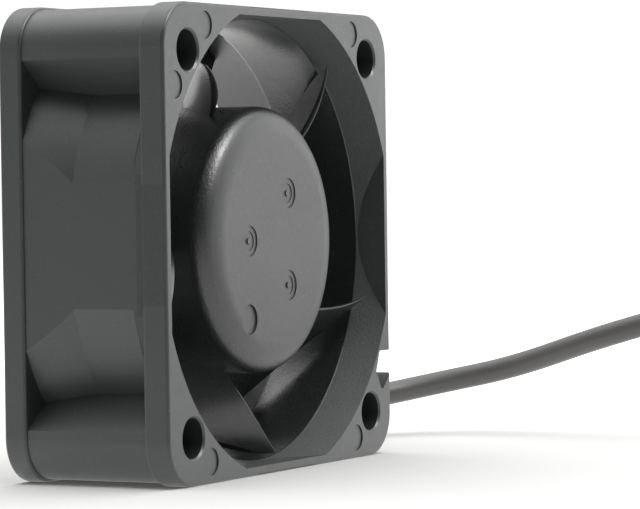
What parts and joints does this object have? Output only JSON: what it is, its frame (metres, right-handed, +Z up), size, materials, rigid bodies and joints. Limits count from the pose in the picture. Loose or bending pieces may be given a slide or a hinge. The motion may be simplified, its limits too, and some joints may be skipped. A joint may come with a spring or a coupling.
{
  "type": "axial cooling fan",
  "caption": "Small square direct-current cooling fan: moulded frame with corner screw holes and rear struts, bladed impeller on an external-rotor motor, ball bearings, and a cable with a plug",
  "frame": {"origin": "centre of the frame's underside, on the surface it stands on, with the cable left out", "axes": "Z up, the impeller turns about Y, air enters at the -Y face and leaves at the +Y face, the cable leaves on +X"},
  "size_m": [0.0812, 0.0895, 0.05],
  "materials": {
    "frame_plastic": "satin",
    "impeller_plastic": "satin",
    "steel_yoke": "drawn",
    "magnet": "matte",
    "brass": "turned",
    "steel": "ground",
    "cage": "matte",
    "core_steel": "rolled",
    "insulator_plastic": "matte",
    "copper": "enamelled",
    "board": "satin",
    "chip": "matte",
    "capacitor": "satin",
    "wire_skin": "satin",
    "cable_jacket": "satin",
    "connector_plastic": "satin"
  },
  "bodies": {
    "housing": {"frame": "frame_plastic", "bearing_tube": "brass", "front_bearing_outer_ring": "steel", "rear_bearing_outer_ring": "steel", "stator_core": "core_steel", "front_insulator": "insulator_plastic", "rear_insulator": "insulator_plastic", "coil_1": "copper", "coil_2": "copper", "coil_3": "copper", "coil_4": "copper", "circuit_board": "board", "hall_sensor": "chip", "driver_chip": "chip", "capacitor": "capacitor", "resistors": "chip", "terminal_pins": "brass", "lead_wires": "wire_skin", "cable": "cable_jacket", "cable_coil": "cable_jacket", "cable_tail": "cable_jacket", "connector_leads": "wire_skin", "connector_housing": "connector_plastic", "connector_terminals": "brass"},
    "rotor": {"impeller": "impeller_plastic", "rotor_yoke": "steel_yoke", "ring_magnet": "magnet", "shaft_bush": "brass", "shaft": "steel", "washer": "insulator_plastic", "retaining_ring": "steel", "preload_spring": "steel", "front_bearing_inner_ring": "steel", "rear_bearing_inner_ring": "steel"},
    "front_ball_set": {"front_balls": "steel", "front_cage": "cage"},
    "rear_ball_set": {"rear_balls": "steel", "rear_cage": "cage"}
  },
  "joints": [
    {"name": "rotor_spin", "type": "hinge", "parent": "housing", "child": "rotor", "pos_m": [0, 0, 0.025], "axis": [0, -1, 0], "continuous": true},
    {"name": "front_ball_spin", "type": "hinge", "parent": "housing", "child": "front_ball_set", "pos_m": [0, -0.003, 0.025], "axis": [0, -1, 0], "continuous": true},
    {"name": "rear_ball_spin", "type": "hinge", "parent": "housing", "child": "rear_ball_set", "pos_m": [0, 0.0053, 0.025], "axis": [0, -1, 0], "continuous": true}
  ],
  "couplings": [
    {"joint": "front_ball_spin", "follows": "rotor_spin", "ratio": 0.3727},
    {"joint": "rear_ball_spin", "follows": "rotor_spin", "ratio": 0.3727}
  ]
}
